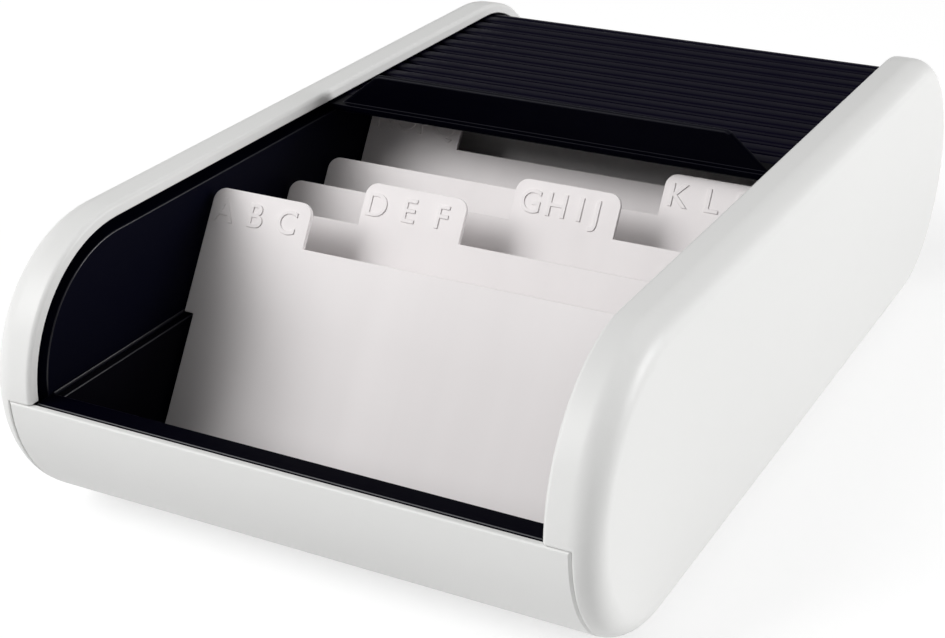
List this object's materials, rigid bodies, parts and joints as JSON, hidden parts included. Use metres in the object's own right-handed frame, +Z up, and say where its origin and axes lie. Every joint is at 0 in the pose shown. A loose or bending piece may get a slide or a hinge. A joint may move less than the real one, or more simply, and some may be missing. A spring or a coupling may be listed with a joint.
{
  "type": "business card box",
  "caption": "Desktop box for business cards with rounded side panels, a ribbed shutter that slides along a curved track and leaning tabbed dividers.",
  "frame": {"origin": "on the table, under the middle of the box", "axes": "+Z up, +Y from the front lip to the rear, +X to the right seen from the front"},
  "size_m": [0.136, 0.232, 0.0702],
  "materials": {
    "white_shell": "satin moulded plastic",
    "black_liner": "matte moulded plastic",
    "black_tray": "matte moulded plastic",
    "black_shutter": "satin flexible plastic",
    "black_grip": "satin moulded plastic",
    "divider_card": "smooth plastic sheet",
    "rubber_foot": "matte rubber"
  },
  "bodies": {
    "box": {"right_side_panel": "white_shell", "left_side_panel": "white_shell", "base_shell": "white_shell", "right_liner": "black_liner", "left_liner": "black_liner", "inner_tray": "black_tray", "shutter_sheet": "black_shutter", "foot_front_left": "rubber_foot", "foot_front_right": "rubber_foot", "foot_rear_left": "rubber_foot", "foot_rear_right": "rubber_foot"},
    "shutter": {"shutter_grip": "black_grip"},
    "divider_1": {"divider_1": "divider_card"},
    "divider_2": {"divider_2": "divider_card"},
    "divider_3": {"divider_3": "divider_card"},
    "divider_4": {"divider_4": "divider_card"},
    "divider_5": {"divider_5": "divider_card"},
    "divider_6": {"divider_6": "divider_card"},
    "divider_7": {"divider_7": "divider_card"},
    "divider_8": {"divider_8": "divider_card"}
  },
  "joints": [
    {"name": "shutter_slide", "type": "slide", "parent": "box", "child": "shutter", "axis": [0, 1, 0], "range_m": [-0.064, 0.055], "deforming": ["shutter_sheet"]},
    {"name": "divider_1_tilt", "type": "hinge", "parent": "box", "child": "divider_1", "pos_m": [0, -0.078, 0.01082], "axis": [1, 0, 0], "range_deg": [0, 30]},
    {"name": "divider_2_tilt", "type": "hinge", "parent": "box", "child": "divider_2", "pos_m": [0, -0.0603, 0.01082], "axis": [1, 0, 0], "range_deg": [0, 12]},
    {"name": "divider_3_tilt", "type": "hinge", "parent": "box", "child": "divider_3", "pos_m": [0, -0.0426, 0.01082], "axis": [1, 0, 0], "range_deg": [0, 12]},
    {"name": "divider_4_tilt", "type": "hinge", "parent": "box", "child": "divider_4", "pos_m": [0, -0.0249, 0.01082], "axis": [1, 0, 0], "range_deg": [0, 4]},
    {"name": "divider_5_tilt", "type": "hinge", "parent": "box", "child": "divider_5", "pos_m": [0, -0.0072, 0.01082], "axis": [1, 0, 0], "range_deg": [0, 4]},
    {"name": "divider_6_tilt", "type": "hinge", "parent": "box", "child": "divider_6", "pos_m": [0, 0.0105, 0.01082], "axis": [1, 0, 0], "range_deg": [0, 4]},
    {"name": "divider_7_tilt", "type": "hinge", "parent": "box", "child": "divider_7", "pos_m": [0, 0.0282, 0.01082], "axis": [1, 0, 0], "range_deg": [0, 4]},
    {"name": "divider_8_tilt", "type": "hinge", "parent": "box", "child": "divider_8", "pos_m": [0, 0.0459, 0.01082], "axis": [1, 0, 0], "range_deg": [0, 4]}
  ]
}
